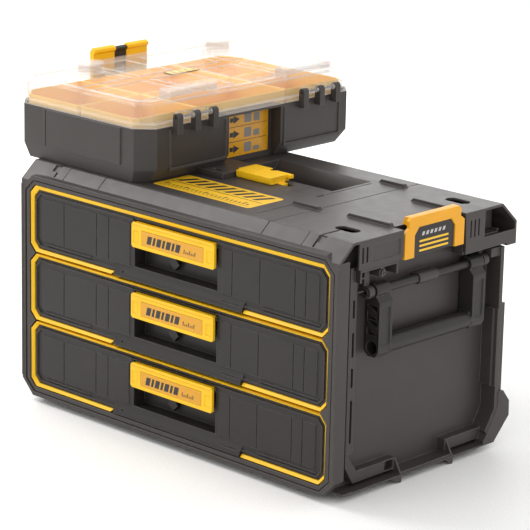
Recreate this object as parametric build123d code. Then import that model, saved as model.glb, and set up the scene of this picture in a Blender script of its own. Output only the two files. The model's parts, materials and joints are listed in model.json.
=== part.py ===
from build123d import *
import os
from math import cos, sin, pi, radians

# Three-drawer stacking tool unit with a half-width small-parts organiser docked on its deck.
# Millimetres. While modelling, y = 0 is the plane of the drawer trims (front), +y is to the rear,
# x = 0 is the middle of the width and z = 0 the underside of the front frame.
# On export everything moves by (0, -BASE_Y, FOOT): the origin is then the middle of the flat base.

# ---- driving dimensions -------------------------------------------------------------------
HALF_W = 277.0
DECK_Z = 312.0
DECK_Y0 = 22.3
DECK_Y1 = 298.4
SKIN = 3.4
BASE_Y = 165.0
FOOT = 8.0
MID_Y = 169.0

FRAME_Y0 = -2.0
FRAME_Y1 = 17.0
FRAME_TOP = 290.8
FRAME_CH = 20.5
LEDGE_Z = 298.0
BEZEL_Y = -1.0
BEZEL_HALF = 262.3
OPEN_HALF = 268.3
OPEN_Z0 = 7.1
OPEN_Z1 = 288.6

DRAWERS = 3
PITCH = 91.7
TRIM_HALF = 261.5
TRIM_H = 88.8
TRIM_TOP = 285.5
TRIM_CX = 9.7
TRIM_CZ = 10.3
TRIM_W = 4.0
TRIM_D = 9.0
PANEL_Y = 4.6
FRONT_T = 14.0

PANEL_X = 253.0
RIB_X = 265.6
WALL = 3.0
TRAY_HALF = 236.0
TRAY_Y0 = 14.2
TRAY_Y1 = 298.0
TRAY_T = 2.4
TRAY_H = 72.0
DIVIDER_X = 98.0

FLAP_X0 = -71.0
FLAP_X1 = 74.0
FLAP_H = 32.5
PIVOT_Y = 5.9
PIN_R = 1.5
RUN = 0.05
BOLT_X = -13.0

ROD_X = 264.0
ROD_Z = 242.0
ROD_R = 5.6
GRIP_X = 265.5
GRIP_Z = 172.0
GRIP_R = 11.0

LATCH_X = 268.0
LATCH_Z = 281.0

ORG_X0 = -322.0
ORG_X1 = -74.0
ORG_Y0 = 24.0
ORG_Y1 = 418.0
ORG_RIM = 383.0
ORG_CH = 21.0
ORG_T = 2.6
LID_TOP = 414.0
NICHE_Y0 = 173.0
NICHE_Y1 = 269.0
NICHE_X = -92.0
HINGE_X = -68.0
HINGE_Z = 395.0
BIN_Z = 332.0
KNUCKLES = (75.0, 106.5, 138.0, 306.0, 337.0, 368.0)

SLOT_X = 230.0

# raised docking rails on the deck, as (x0, x1, y0, y1) of the right half
RAILS = ((102.5, 150.0, 102.6, 108.0), (101.0, 146.0, 266.0, 271.4),
         (187.0, 259.6, 109.0, 114.6), (191.0, 259.6, 222.6, 228.2))


# ---- helpers ------------------------------------------------------------------------------
def box(x0, x1, y0, y1, z0, z1):
    centre = Pos((x0 + x1) / 2, (y0 + y1) / 2, (z0 + z1) / 2)
    return centre * Box(x1 - x0, y1 - y0, z1 - z0)


def prism_x(pts, x0, x1):
    """Polygon given as (y, z), extruded from x0 to x1."""
    face = make_face(Plane.YZ.offset(x0) * Polyline(*pts, close=True))
    return extrude(face, x1 - x0, dir=(1, 0, 0))


def prism_y(pts, y0, y1):
    """Polygon given as (x, z), extruded from y0 to y1."""
    plane = Plane((0, y0, 0), x_dir=(1, 0, 0), z_dir=(0, -1, 0))
    face = make_face(plane * Polyline(*pts, close=True))
    return extrude(face, y1 - y0, dir=(0, 1, 0))


def prism_z(pts, z0, z1):
    """Polygon given as (x, y), extruded from z0 to z1."""
    face = make_face(Plane.XY.offset(z0) * Polyline(*pts, close=True))
    return extrude(face, z1 - z0, dir=(0, 0, 1))


def cyl_x(y, z, r, x0, x1):
    return Pos((x0 + x1) / 2, y, z) * Rot(0, 90, 0) * Cylinder(r, x1 - x0)


def cyl_y(x, z, r, y0, y1):
    return Pos(x, (y0 + y1) / 2, z) * Rot(90, 0, 0) * Cylinder(r, y1 - y0)


def cyl_z(x, y, r, z0, z1):
    return Pos(x, y, (z0 + z1) / 2) * Cylinder(r, z1 - z0)


def octagon(half, z0, z1, cx, cz):
    """Symmetric octagon in (x, z) with corners cut by cx and cz."""
    return [(-half + cx, z0), (half - cx, z0), (half, z0 + cz), (half, z1 - cz),
            (half - cx, z1), (-half + cx, z1), (-half, z1 - cz), (-half, z0 + cz)]


def plan(x0, x1, y0, y1, c):
    """Rectangle in (x, y) with corners cut by c."""
    return [(x0 + c, y0), (x1 - c, y0), (x1, y0 + c), (x1, y1 - c),
            (x1 - c, y1), (x0 + c, y1), (x0, y1 - c), (x0, y0 + c)]


def both(shape):
    """The shape and its mirror image on the left side."""
    return shape + mirror(shape, about=Plane.YZ)


def mirrored(shape):
    return mirror(shape, about=Plane.YZ)


nodes = {}


# ---- front frame --------------------------------------------------------------------------
def facet_cut(x0, x1, s0, s1, depth):
    """Cut into the slanted facet, between the fractions s0 and s1 of its slope."""
    dy = DECK_Y0 - FRAME_Y0
    dz = DECK_Z - FRAME_TOP
    run = (dy * dy + dz * dz) ** 0.5
    low = (FRAME_Y0 + dy * s0, FRAME_TOP + dz * s0)
    high = (FRAME_Y0 + dy * s1, FRAME_TOP + dz * s1)
    pts = []
    for (y, z), h in ((low, 6.0), (high, 6.0), (high, -depth), (low, -depth)):
        pts.append((y - dz / run * h, z + dy / run * h))
    return prism_x(pts, x0, x1)


def front_frame():
    outer = [(-HALF_W + FRAME_CH, 0), (HALF_W - FRAME_CH, 0), (HALF_W, FRAME_CH),
             (HALF_W, FRAME_TOP), (-HALF_W, FRAME_TOP), (-HALF_W, FRAME_CH)]
    ring = prism_y(outer, FRAME_Y0, FRAME_Y1)
    ring -= prism_y(octagon(OPEN_HALF, OPEN_Z0, OPEN_Z1, 15.0, 14.5), FRAME_Y0 - 1, FRAME_Y1 + 1)
    facet = prism_x([(FRAME_Y0, FRAME_TOP), (DECK_Y0, DECK_Z), (26, DECK_Z), (26, DECK_Z - SKIN),
                     (23.7, DECK_Z - SKIN), (3.5, FRAME_TOP)], -HALF_W, HALF_W)
    # inner step that the drawer trims sit in front of
    step = prism_y(octagon(OPEN_HALF, OPEN_Z0, OPEN_Z1, 15.0, 14.5), 10.5, FRAME_Y1)
    step -= prism_y(octagon(OPEN_HALF - 5.0, OPEN_Z0 + 4.5, OPEN_Z1 - 1.0, 12.0, 12.0), 9, 18)
    # flange behind the drawer fronts, closing the gap to the side walls
    flange = prism_y(octagon(OPEN_HALF, OPEN_Z0, OPEN_Z1, 15.0, 14.5), 14.6, FRAME_Y1)
    flange -= box(-250.2, 250.2, 10, 20, OPEN_Z0 + 4.6, OPEN_Z1 - 1.8)
    step += flange
    # slim raised bead along the outer vertical edges
    bead = box(HALF_W - 3.0, HALF_W, FRAME_Y0 - 1.0, FRAME_Y0, FRAME_CH + 4, FRAME_TOP - 6)
    # bezel around the drawer trims, with a three-sided fill between neighbouring drawers
    bezel = prism_y(octagon(OPEN_HALF + 0.5, OPEN_Z0 - 0.5, OPEN_Z1 + 0.5, 15.0, 14.5), BEZEL_Y, 4.0)
    bezel -= prism_y(octagon(BEZEL_HALF, 12.5, 286.3, 9.4, 9.9), BEZEL_Y - 1, 5.0)
    for n in range(1, DRAWERS):
        zj = TRIM_TOP - PITCH * n + (PITCH - TRIM_H) / 2
        bezel += both(prism_y([(252.0, zj), (BEZEL_HALF + 0.4, zj - 10.9), (BEZEL_HALF + 0.4, zj + 10.9)],
                              BEZEL_Y, 4.0))
    # fascia that stands in front of the facet and ends in a narrow ledge
    fascia = prism_x([(FRAME_Y0, 290), (FRAME_Y0, LEDGE_Z), (7.4, LEDGE_Z + 1), (8.5, LEDGE_Z + 0.2),
                      (1.2, 291), (1.2, 290)], -268, 268)
    fascia &= prism_y([(-268, 287), (268, 287), (256, 299.2), (-256, 299.2)], -3, 10)
    frame = ring + facet + step + both(bead) + fascia
    frame -= prism_y(octagon(OPEN_HALF, OPEN_Z0, 291.0, 15.0, 14.5), FRAME_Y0 - 2, BEZEL_Y)
    groove = prism_y(octagon(OPEN_HALF + 1.9, OPEN_Z0 - 1.5, 292.4, 15.8, 15.2), FRAME_Y0 - 2, 1.0)
    groove -= prism_y(octagon(OPEN_HALF, OPEN_Z0, 291.0, 15.0, 14.5), FRAME_Y0 - 3, 2.0)
    frame += bezel
    frame -= groove
    # seams of the facet and the stepped notch in front of each corner slot
    frame -= both(facet_cut(142.0, 143.0, 0.38, 1.2, 1.0))
    frame -= both(facet_cut(207.7, 208.4, 0.38, 1.2, 0.5))
    frame -= both(facet_cut(224.0, 235.5, 0.68, 1.0, 2.4))
    frame -= both(facet_cut(224.0, 226.6, 0.43, 0.7, 2.4))
    frame -= both(box(142.0, 143.0, 21.0, 26.5, DECK_Z - 1.2, DECK_Z + 1))
    frame -= both(box(224.5, 227.5, 21.0, 26.5, DECK_Z - 2.2, DECK_Z + 1))
    # rear lugs that screw to the side shells
    for z in (60, 150, 240):
        frame += both(box(OPEN_HALF - 4, HALF_W - 5, FRAME_Y1, FRAME_Y1 + 4, z - 8, z + 8))
    # triangular fillet under the lower corner, carrying the base line back
    foot = prism_z([(258, FRAME_Y1), (HALF_W, FRAME_Y1), (HALF_W, 32.8)], 0, 3.0)
    frame += both(foot)
    return frame


# ---- drawers ------------------------------------------------------------------------------
def drawer_nodes(n):
    top = TRIM_TOP - PITCH * (n - 1)
    bot = top - TRIM_H
    band = 6.0 if n == 1 else 4.0
    tag = "drawer_%d_" % n

    # yellow outline, open at the lower middle where the pull lip comes through
    trim = prism_y(octagon(TRIM_HALF, bot, top, TRIM_CX, TRIM_CZ), 0, TRIM_D)
    hole = [(-TRIM_HALF + TRIM_W + TRIM_CX - 1, bot + TRIM_W),
            (TRIM_HALF - TRIM_W - TRIM_CX + 1, bot + TRIM_W),
            (TRIM_HALF - TRIM_W, bot + TRIM_W + TRIM_CZ - 1),
            (TRIM_HALF - TRIM_W, top - band - TRIM_CZ + 1),
            (TRIM_HALF - TRIM_W - TRIM_CX + 1, top - band),
            (-TRIM_HALF + TRIM_W + TRIM_CX - 1, top - band),
            (-TRIM_HALF + TRIM_W, top - band - TRIM_CZ + 1),
            (-TRIM_HALF + TRIM_W, bot + TRIM_W + TRIM_CZ - 1)]
    trim -= prism_y(hole, -1, TRIM_D + 1)
    # its face slopes inward from a narrow outer land
    faces = []
    for y, pts in ((-0.01, octagon(TRIM_HALF - 0.6, bot + 0.6, top - 0.6, TRIM_CX - 0.3, TRIM_CZ - 0.3)),
                   (3.2, hole)):
        plane = Plane((0, y, 0), x_dir=(1, 0, 0), z_dir=(0, -1, 0))
        faces.append(make_face(plane * Polyline(*pts, close=True)))
    trim -= loft(faces)
    trim -= prism_y([(-111, bot - 1), (122, bot - 1), (122, bot + TRIM_W + 1),
                     (-105, bot + TRIM_W + 1)], -1, TRIM_D + 1)
    nodes[tag + "trim"] = trim

    # dark face panel behind the outline
    shrink = [(x, z) for x, z in hole]
    panel = prism_y(shrink, PANEL_Y, TRIM_D)
    panel += prism_y(octagon(TRIM_HALF - 1, bot + 1, top - 1, TRIM_CX, TRIM_CZ), TRIM_D, FRONT_T)
    # pull lip along the lower middle
    lip = prism_x([(PANEL_Y, bot + 15), (-1.6, bot + 5), (-1.6, bot + 0.6), (FRONT_T, bot + 0.6),
                   (FRONT_T, bot + 15)], -103, 121.6)
    panel += lip
    panel -= box(86, 116, -3, 1.6, bot + 7.5, bot + 9.0)
    panel -= cyl_y(-88, bot + 7.6, 1.3, -3, 3)
    # raised fields with vertical grooves, left and right of the pull
    z0 = top - 72.5
    z1 = top - 16.5
    left = prism_y([(-242, z0), (-79, z0), (-79, z1), (-242, z1)], PANEL_Y - 1.3, PANEL_Y)
    right = prism_y([(82, z0), (242, z0), (242, z1), (82, z1)], PANEL_Y - 1.3, PANEL_Y)
    for x in (-201, -140, -117.5):
        left -= box(x - 0.7, x + 0.7, PANEL_Y - 2, PANEL_Y, z0 - 1, z1 + 1)
    for x in (100, 146, 203.5, 221):
        right -= box(x - 0.7, x + 0.7, PANEL_Y - 2, PANEL_Y, z0 - 1, z1 + 1)
    right += box(149, 246, PANEL_Y - 2.2, PANEL_Y, z0 - 4.4, z0 - 2.8)
    left += box(-236, -150, PANEL_Y - 2.2, PANEL_Y, z0 - 4.4, z0 - 2.8)
    panel += left + right
    # standing ring around the panel, interrupted where the pull lies
    edge = TRIM_HALF - TRIM_W - 3.0
    rim = prism_y(octagon(edge, bot + TRIM_W + 3.0, top - band - 3.0, 8.2, 8.8), PANEL_Y - 2.4, PANEL_Y)
    rim -= prism_y(octagon(edge - 2.6, bot + TRIM_W + 5.6, top - band - 5.6, 7.2, 7.8),
                   PANEL_Y - 3, PANEL_Y + 1)
    rim -= box(FLAP_X0 - 1.2, FLAP_X1 + 1.2, -3, PANEL_Y + 1, top - 45.7, top - 7.5)
    rim -= box(-103, 121.6, -3, PANEL_Y + 1, bot, bot + 16)
    panel += rim
    # finger recess under the pull, as a cup behind the panel
    fz0 = top - 71.5
    fz1 = top - 45.2
    panel += box(-75, 78, FRONT_T, 27, fz0 - 3, fz1 + 2)
    panel -= box(-71, 74, -3, 24, fz0, fz1)
    diamond = prism_y([(BOLT_X - 9, fz0 + 13), (BOLT_X, fz0 + 4), (BOLT_X + 9, fz0 + 13),
                       (BOLT_X, fz0 + 22)], 17, 24.5)
    panel += diamond
    # shallow seat the yellow pull lies in, with two pin lugs
    seat_z0 = top - 12.0 - FLAP_H - 1.2
    seat_z1 = top - 11.0
    panel -= box(FLAP_X0 - 1.2, FLAP_X1 + 1.2, -3, 9.5, seat_z0, seat_z1)
    pz = top - 15.2
    for x0, x1 in ((-72.2, -69.0), (72.0, 75.2)):
        lug = box(x0, x1, PIVOT_Y - 2.3, 9.5, pz - 2.8, pz + 2.2)
        panel += lug
    panel -= cyl_x(PIVOT_Y, pz, PIN_R + RUN, FLAP_X0 - 2, FLAP_X1 + 2)
    # slot and housing for the bolt behind the pull
    panel += box(BOLT_X - 9, BOLT_X + 9, FRONT_T, 27, fz1 + 2, top - 5)
    panel -= box(BOLT_X - 6.2, BOLT_X + 6.2, 9.0, 24.6, fz1 + 3, top + 2)
    nodes[tag + "front"] = panel

    # yellow pull: a flap on a pin along its upper edge
    ft = top - 12.0
    flap = prism_y([(FLAP_X0 + 2.5, ft - FLAP_H), (FLAP_X1 - 2.5, ft - FLAP_H),
                    (FLAP_X1, ft - FLAP_H + 2.5), (FLAP_X1, ft - 2.5), (FLAP_X1 - 2.5, ft),
                    (FLAP_X0 + 2.5, ft), (FLAP_X0, ft - 2.5), (FLAP_X0, ft - FLAP_H + 2.5)],
                   -1.6, 2.6)
    flap += box(FLAP_X0 + 3, FLAP_X1 - 3, -2.4, -1.6, ft - 3.2, ft - 1.4)
    flap -= box(-53, 55.5, -3, -0.4, ft - FLAP_H + 5.0, ft - 8.4)
    for x in (-63, 66):
        flap -= box(x - 4.5, x + 4.5, -3, -1.0, ft - FLAP_H + 7, ft - 11)
    barrel = cyl_x(PIVOT_Y, pz, 3.0, -68.6, 71.6)
    barrel += box(-68.6, 71.6, 2.4, PIVOT_Y, pz - 2.4, pz + 2.4)
    flap += barrel
    arm = prism_x([(PIVOT_Y, pz - 1.6), (18.2, pz - 1.4), (18.2, pz + 1.4), (PIVOT_Y, pz + 2.6)],
                  BOLT_X - 4, BOLT_X + 4)
    flap += arm
    flap -= cyl_x(PIVOT_Y, pz, PIN_R + RUN, -80, 80)
    nodes[tag + "flap"] = flap
    nodes[tag + "label"] = box(-52.7, 55.2, -1.5, -0.4, ft - FLAP_H + 5.3, ft - 8.7)
    nodes[tag + "flap_pin"] = cyl_x(PIVOT_Y, pz, PIN_R, -72.0, 75.0)

    # spring bolt: a block pushed down by the arm, tip just below the strike slot
    bolt = box(BOLT_X - 5.6, BOLT_X + 5.6, 13.5, 24.2, pz - 11.5, pz - 3.0)
    bolt += box(BOLT_X - 5.6, BOLT_X + 5.6, 20.4, 24.2, pz - 3.0, top - 3.2)
    bolt -= prism_x([(20.0, top - 3.0), (22.6, top - 3.0), (20.0, top - 5.6)], -60, 60)
    bolt -= cyl_z(BOLT_X, 18.0, 2.6, pz - 12, pz - 8.5)
    nodes[tag + "bolt"] = bolt
    s0 = fz1 + 3.0
    s1 = pz - 8.5
    helix = Helix(pitch=(s1 - s0 - 0.9) / 5.0, height=s1 - s0 - 0.9, radius=1.8)
    wire = sweep(Plane(helix @ 0, z_dir=helix % 0) * Circle(0.4), path=helix, is_frenet=True)
    nodes[tag + "spring"] = Pos(BOLT_X, 18.0, s0 + 0.45) * wire

    # tray
    tz0 = bot + 5.0
    tz1 = tz0 + TRAY_H
    tray = box(-TRAY_HALF, TRAY_HALF, TRAY_Y0, TRAY_Y1, tz0, tz1)
    tray -= box(-TRAY_HALF + TRAY_T, TRAY_HALF - TRAY_T, TRAY_Y0 + TRAY_T, TRAY_Y1 - TRAY_T,
                tz0 + TRAY_T, tz1 + 1)
    tray -= box(-78.4, 81.4, 10, 27.4, tz0 - 1, tz1 + 1)
    # wall around the cup so the tray stays closed behind the finger recess
    cup = box(-80.8, 83.8, TRAY_Y0, 29.8, tz0, tz1) - box(-78.4, 81.4, 10, 27.4, tz0 - 1, tz1 + 1)
    tray += cup
    # divider guides along the long walls
    for x in (-158, -DIVIDER_X, DIVIDER_X, 158):
        for s in (-1.9, 1.9):
            tray += box(x + s - 0.6, x + s + 0.6, TRAY_Y1 - TRAY_T - 2, TRAY_Y1 - TRAY_T,
                        tz0 + TRAY_T, tz1 - 10)
    nodes[tag + "tray"] = tray

    # two removable dividers, front to back
    dz0 = tz0 + TRAY_T
    dz1 = tz1 - 14
    nodes[tag + "dividers"] = both(box(DIVIDER_X - 1.0, DIVIDER_X + 1.0, TRAY_Y0 + TRAY_T + 0.4,
                                       TRAY_Y1 - TRAY_T - 0.4, dz0, dz1))

    # slides: inner channel on the tray, intermediate, outer on the shell
    zc = bot + 40.0
    r_in = box(236, 237.4, 24, 296, zc - 15, zc + 15)
    r_in += box(236, 242.6, 24, 296, zc + 13.6, zc + 15)
    r_in += box(236, 242.6, 24, 296, zc - 15, zc - 13.6)
    nodes[tag + "slide_inner"] = both(r_in)
    r_mid = box(243.4, 245.0, 24, 296, zc - 18.4, zc + 18.4)
    r_mid += box(238.6, 245.0, 24, 296, zc + 16.8, zc + 18.4)
    r_mid += box(238.6, 245.0, 24, 296, zc - 18.4, zc - 16.8)
    nodes["slide_mid_%d" % n] = both(r_mid)
    r_out = box(247.6, 250.0, 24, 300, zc - 22, zc + 22)
    r_out += box(241.0, 250.0, 24, 300, zc + 20.2, zc + 22)
    r_out += box(241.0, 250.0, 24, 300, zc - 22, zc - 20.2)
    return both(r_out)


outers = None
for number in range(1, DRAWERS + 1):
    channel = drawer_nodes(number)
    outers = channel if outers is None else outers + channel
nodes["slide_outer_members"] = outers
nodes["front_frame"] = front_frame()


# ---- cross members over each drawer -------------------------------------------------------
def shelves():
    out = None
    for n in range(1, DRAWERS + 1):
        top = TRIM_TOP - PITCH * (n - 1)
        z0 = top - 2.6
        z1 = top - 0.2
        shelf = box(-249.8, 249.8, 20, 306.6, z0, z1)
        for x in (-170, 0, 170):
            for y in (70, 165, 260):
                shelf -= box(x - 62, x + 62, y - 34, y + 34, z0 - 1, z1 + 1)
        shelf -= box(BOLT_X - 8, BOLT_X + 8, 19.6, 25.6, z0 - 1, z1 + 1)
        shelf += box(-249.8, 249.8, 303.6, 306.6, z0 - 6, z0)
        out = shelf if out is None else out + shelf
    return out


nodes["drawer_shelves"] = shelves()


# ---- top deck -----------------------------------------------------------------------------
def top_deck():
    z0 = DECK_Z - SKIN
    deck = box(-HALF_W, HALF_W, 26, DECK_Y1, z0, DECK_Z)
    # rear hood: sloping skin, upright lip and return flange
    hood = prism_x([(DECK_Y1, DECK_Z), (327, 285.8), (327, 256.2), (309, 256.2), (309, 259.6),
                    (323.6, 259.6), (323.6, 284.4), (297, z0), (DECK_Y1 - 4, z0),
                    (DECK_Y1 - 4, DECK_Z)], -HALF_W, HALF_W)
    deck += hood
    side = prism_x([(226.5, z0), (264, z0), (264, 275.5), (323.6, 275.5), (323.6, 259.6),
                    (228.5, 259.6), (228.5, 268)], 273.6, HALF_W)
    for y in (236, 243.5, 251):
        side -= box(270, 280, y, y + 2.6, 279, 301)
    front = box(273.6, HALF_W, 33, 111.5, 277, z0)
    for y in (38, 45.5):
        front -= box(270, 280, y, y + 3.0, 284, 303)
    front -= box(275.6, 280, 56, 106, 283, 303)
    web = box(253.2, 273.6, 55, 58, 279, z0) + box(253.2, 273.6, 232, 235, 279, z0)
    deck += both(side + front + web)
    # cut-out for the side latch in the deck edge
    deck -= both(box(260, HALF_W + 1, 112, 226.4, z0 - 1, DECK_Z + 1))
    deck += both(box(258, 260, 111.5, 228.5, z0 - 9, DECK_Z))
    # seams
    deck -= both(box(142.0, 143.0, 25, DECK_Y1 - 2, DECK_Z - 1.3, DECK_Z + 1))
    deck -= both(box(224.5, 227.5, 25, 54, DECK_Z - 1.6, DECK_Z + 1))
    deck -= both(box(105.5, 106.9, 38, 101, DECK_Z - 1.0, DECK_Z + 1))
    deck -= both(box(99.6, 101.0, 168, 252.6, DECK_Z - 1.3, DECK_Z + 1))
    deck -= both(box(98.8, 101.8, 151, 164, DECK_Z - 2.0, DECK_Z + 1))
    # lens-shaped docking slots in the corners
    for yc in (64.0, 267.0):
        for s in (1, -1):
            slot = Pos(s * SLOT_X, yc, DECK_Z) * Box(34, 17, 24)
            slot = fillet(slot.edges().filter_by(Axis.Z), 8.0)
            deck -= slot
    # raised docking rails
    for x0, x1, y0, y1 in RAILS:
        rail = prism_y([(x0, DECK_Z), (x1, DECK_Z), (x1 - 4, DECK_Z + 4.2), (x0 + 4, DECK_Z + 4.2)],
                       y0, y1)
        deck += both(rail)
    # sunken pocket behind the docking latch, with its floor and walls
    px0, px1, py0, py1, pz = -66.0, 94.0, 186.0, 250.0, 290.0
    tub = box(px0 - 2.5, px1 + 2.5, py0 - 2.5, py1 + 2.5, pz - 2.5, z0)
    tub -= box(px0, px1, py0, py1, pz, DECK_Z)
    bevel = prism_x([(py1, 300), (py1 + 9, DECK_Z + 0.01), (py1, DECK_Z + 0.01)], px0, px1)
    tub2 = prism_x([(py1 + 2.5, 299), (py1 + 13, z0), (py1 + 2.5, z0)], px0 - 2.5, px1 + 2.5)
    deck -= box(px0, px1, py0, py1, z0 - 1, DECK_Z + 1)
    deck += tub + tub2
    deck -= bevel
    deck -= box(px0, px1, py0, py1, pz, DECK_Z + 1)
    # slot in which the docking latch slides, its travel marks and a spring seat
    deck -= box(-44, 42, 162, 174, z0 - 1, DECK_Z + 1)
    deck -= box(43, 60.2, 142.8, 144.4, DECK_Z - 1.2, DECK_Z + 1)
    deck -= box(58.8, 60.2, 144.4, 174, DECK_Z - 1.2, DECK_Z + 1)
    deck += box(52, 55, 158, 178, z0 - 13, z0)
    return deck


nodes["top_deck"] = top_deck()


# ---- side shell ---------------------------------------------------------------------------
def side_shell():
    plate = prism_x([(FRAME_Y1, 0), (306.8, 0), (306.8, 299.3), (296.7, DECK_Z - SKIN), (26, DECK_Z - SKIN),
                     (FRAME_Y1, 300.0)], 250, PANEL_X)
    # clearance for the lugs of the front frame
    for z in (60, 150, 240):
        plate -= box(249, 254, FRAME_Y1 - 1, FRAME_Y1 + 4.4, z - 8.4, z + 8.4)
    # raised border: front rib and lower step, then the rear ones mirrored about the middle
    left = [(31.5, 277), (37.4, 277), (37.4, 41), (49.5, 26), (52, 21.6), (121, 21.6),
            (121, 6.8), (46, 6.8), (31.5, 30)]
    right = [(2 * MID_Y - y, z) for y, z in left]
    shell = plate
    rib = prism_x(left, PANEL_X, RIB_X)
    rib -= box(PANEL_X + 2.5, RIB_X + 1, 104, 119, 8.5, 19.9)
    # dark slots beside the front rib
    shell += rib + prism_x(right, PANEL_X, RIB_X)
    shell += box(PANEL_X, RIB_X - 2.0, 37.4, 46.5, 44, 272)
    for z0, z1 in ((58, 112), (128, 152), (166, 196), (214, 236)):
        shell -= box(PANEL_X + 1, RIB_X + 1, 38.6, 43.2, z0, z1)
    # hook pockets high on the front rib
    for z in (246, 262):
        shell += box(PANEL_X, RIB_X, 46.5, 57, z - 2, z)
    # rear column and outer flange with the bulged lower corner
    column = prism_x([(300.4, 256), (306.8, 256), (306.8, 46), (287, 14), (283.5, 18.5),
                      (300.4, 44)], PANEL_X, 275.6)
    flange = prism_x([(306.8, 181), (316, 181), (316, 66), (306.8, 66)], 262.2, 273.0)
    corner = prism_x([(306.8, 66), (316, 66), (328.8, 50), (329.6, 30), (300.5, 0), (280, 0),
                      (280, 6.0), (287, 14), (306.8, 46)], 262.2, HALF_W)
    shell += column + flange + corner
    shell += box(PANEL_X, 275.6, 296.6, 300.4, 74, 176) - box(270, 280, 290, 299, 60, 190)
    # bottom lip out to the full width
    shell += prism_z([(250, FRAME_Y1), (256.5, FRAME_Y1), (HALF_W, 34.6), (HALF_W, 300.5),
                      (250, 300.5)], 0, 2.4)
    shell += box(PANEL_X, 274.5, 123.5, 218, 2.4, 4.4)
    # gussets of the stacking notch with their teeth below the base
    gus = [(PANEL_X, 0), (HALF_W, 0), (HALF_W, 2.4), (RIB_X + 0.4, 21.6), (PANEL_X, 21.6)]
    shell += prism_y(gus, 121, 123.5) + prism_y(gus, 218, 220.5)
    shell += prism_x([(103, 0), (120, -FOOT), (123.5, -FOOT), (123.5, 0)], 262, HALF_W)
    shell += prism_x([(206, 0), (217, -FOOT), (220.5, -FOOT), (220.5, 0)], 262, HALF_W)
    # handle carrier under the deck: bars, bosses and the lugs that hold the rod
    for y0, y1 in ((42, 109.5), (229, 296)):
        shell += box(PANEL_X, 271.5, y0, y1, 270.5, 276.8)
        shell += box(PANEL_X, 271.5, y0, y0 + 3, 258, 270.5)
        shell += box(PANEL_X, 271.5, y1 - 3, y1, 258, 270.5)
    for y in (81.0, 263.0):
        shell += cyl_x(y, 264.5, 5.6, PANEL_X, 271.5) + box(PANEL_X, 271.5, y - 2, y + 2, 264, 271)
        shell -= cyl_x(y, 264.5, 2.1, PANEL_X + 2, 272)
    for y0, y1 in ((60, 69), (152, 186), (273, 282)):
        wide = y1 - y0 < 20
        lug = cyl_y(ROD_X, ROD_Z, 8.0 if wide else 7.4, y0, y1)
        lug += box(PANEL_X, ROD_X, y0, y1, ROD_Z - 6, ROD_Z + 6)
        if wide:
            lug += box(PANEL_X, 262, y0, y1, 248, 270.5)
        shell += lug
    shell += box(PANEL_X, 273.0, 284, 306.8, 244.5, 256)
    shell -= cyl_y(ROD_X, ROD_Z, ROD_R + RUN, 55, 290)
    # lugs for the side latch pivot
    for y0, y1 in ((108.6, 111.0), (227.0, 229.4)):
        shell += box(PANEL_X, 272.6, y0, y1, 276.8 if y0 < 110 else 274.5, 286.5)
    shell -= cyl_y(LATCH_X, LATCH_Z, 2.5 + RUN, 100, 240)
    return shell


right_shell = side_shell()
nodes["side_shell_right"] = right_shell
nodes["side_shell_left"] = mirrored(right_shell)
nodes["handle_rods"] = both(cyl_y(ROD_X, ROD_Z, ROD_R, 58.5, 283.5) -
                            cyl_y(ROD_X, ROD_Z, 2.4, 58, 72))
nodes["side_latch_pins"] = both(cyl_y(LATCH_X, LATCH_Z, 2.5, 107.5, 230.5))


# ---- bail handle --------------------------------------------------------------------------
def side_handle():
    handle = None
    for y0, y1, face in ((72.0, 96.0, -1), (246.0, 270.0, 1)):
        arm = cyl_y(ROD_X, ROD_Z, 9.2, y0, y1)
        body = prism_y([(254.6, 229), (257, 236), (271, 236), (276.8, 229), (276.8, 168),
                        (272, 160.6), (260, 160.6), (254.6, 166)], y0, y1)
        arm += body
        # shallow field on the outer face, between two standing edges
        arm -= box(275.2, 280, y0 + 4, y1 - 4, 168, 222)
        # triangular truss pockets on the end face
        edge = y0 if face < 0 else y1
        for k in range(4):
            z = 188 + 9.5 * k
            tri = [(258, z), (273, z), (258, z + 7.6)] if k % 2 == 0 else \
                  [(258, z + 7.6), (273, z), (273, z + 7.6)]
            a, b = (edge - 1, edge + 6) if face < 0 else (edge - 6, edge + 1)
            arm -= prism_y(tri, a, b)
        handle = arm if handle is None else handle + arm
    grip = cyl_y(GRIP_X, GRIP_Z, GRIP_R, 72, 270)
    handle += grip
    handle -= cyl_y(GRIP_X, GRIP_Z, 8.2, 60, 93)
    handle -= cyl_y(GRIP_X, GRIP_Z, 8.2, 249, 280)
    # inner corner webs beside the grip
    handle += prism_x([(96, 183), (96, 170), (110, 174)], 258, 273)
    handle += prism_x([(246, 183), (246, 170), (232, 174)], 258, 273)
    handle -= cyl_y(ROD_X, ROD_Z, ROD_R + RUN, 55, 290)
    return handle


right_handle = side_handle()
nodes["side_handle_right"] = right_handle
nodes["side_handle_left"] = mirrored(right_handle)


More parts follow.
